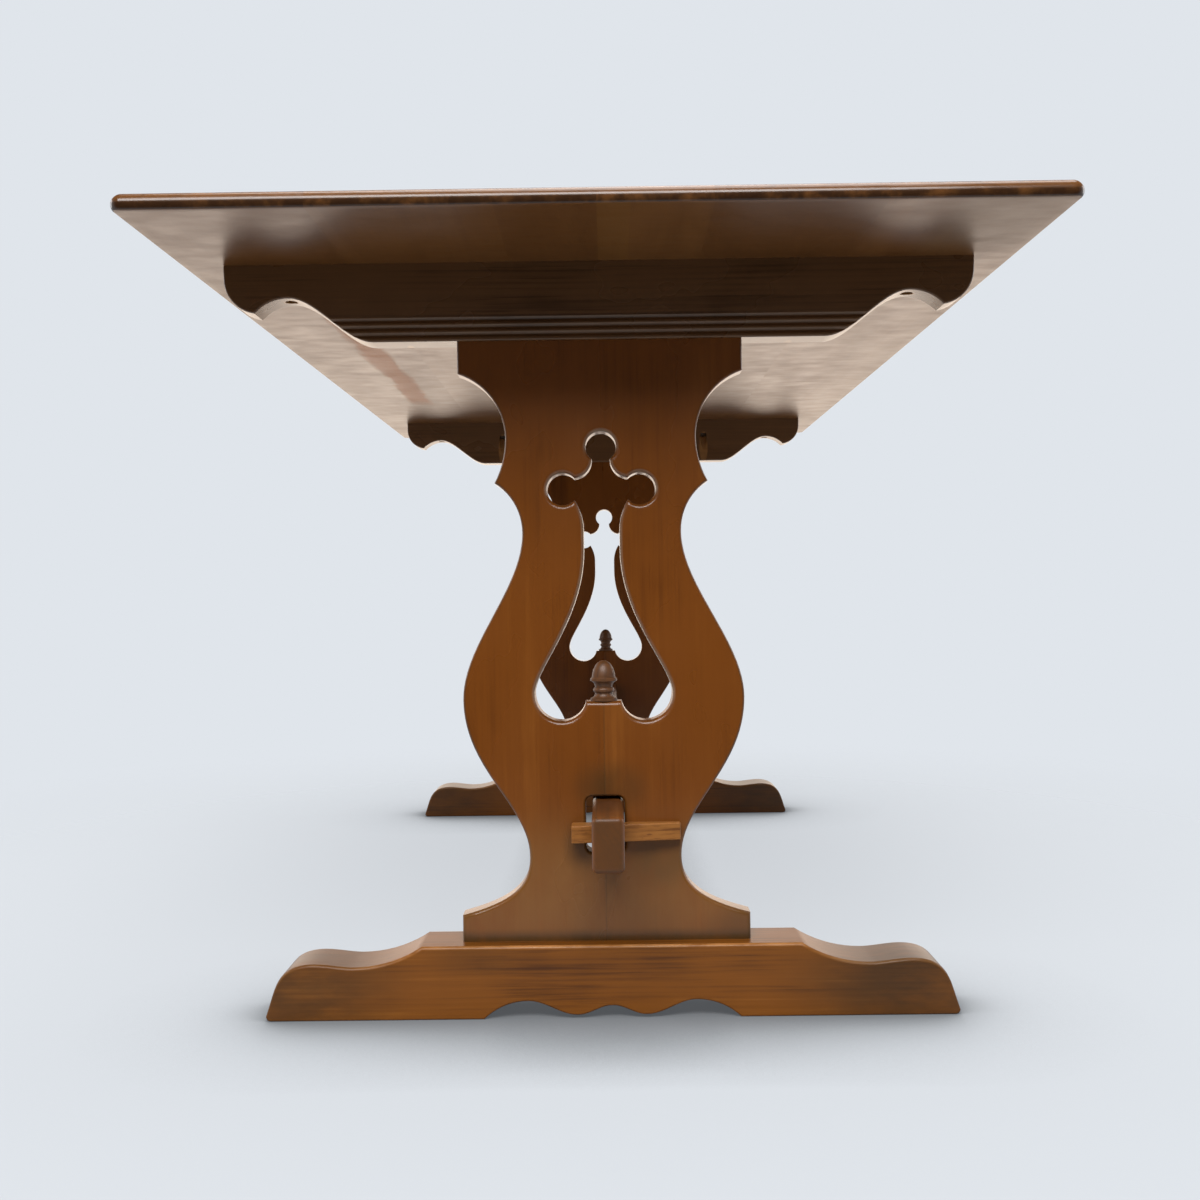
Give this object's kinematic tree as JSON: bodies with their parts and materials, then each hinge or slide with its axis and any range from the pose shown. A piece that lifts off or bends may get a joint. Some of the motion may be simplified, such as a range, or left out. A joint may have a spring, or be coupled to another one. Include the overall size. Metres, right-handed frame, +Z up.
{
  "type": "refectory table",
  "caption": "Long wooden trestle table: board top on cross bearers, pierced lyre panels on sledge feet, and a stretcher whose through tenons are locked by removable wedge keys.",
  "frame": {"origin": "on the floor, under the middle of the top", "axes": "+Z up, +Y along the table's length towards the far trestle, +X to the right across it"},
  "size_m": [0.768, 1.524, 0.7085],
  "materials": {
    "top_wood": "satin, stained and polished",
    "frame_wood": "satin, stained and polished",
    "panel_wood": "satin, stained and polished",
    "turned_wood": "satin, stained and polished",
    "key_wood": "satin, stained and polished",
    "screw_steel": "dulled"
  },
  "bodies": {
    "table": {"top_board_1": "top_wood", "top_board_2": "top_wood", "top_board_3": "top_wood", "top_board_4": "top_wood", "top_board_5": "top_wood", "top_board_6": "top_wood", "near_bearer": "frame_wood", "near_panel_left": "panel_wood", "near_panel_right": "panel_wood", "near_foot": "frame_wood", "near_finial": "turned_wood", "far_bearer": "frame_wood", "far_panel_left": "panel_wood", "far_panel_right": "panel_wood", "far_foot": "frame_wood", "far_finial": "turned_wood", "stretcher": "frame_wood", "bearer_end_screws": "screw_steel", "bearer_pocket_screws": "screw_steel"},
    "near_key": {"near_key": "key_wood"},
    "far_key": {"far_key": "key_wood"}
  },
  "joints": [
    {"name": "near_key_pull", "type": "slide", "parent": "table", "child": "near_key", "axis": [-1, 0, 0], "range_m": [0, 0.09]},
    {"name": "far_key_pull", "type": "slide", "parent": "table", "child": "far_key", "axis": [-1, 0, 0], "range_m": [0, 0.09]}
  ]
}
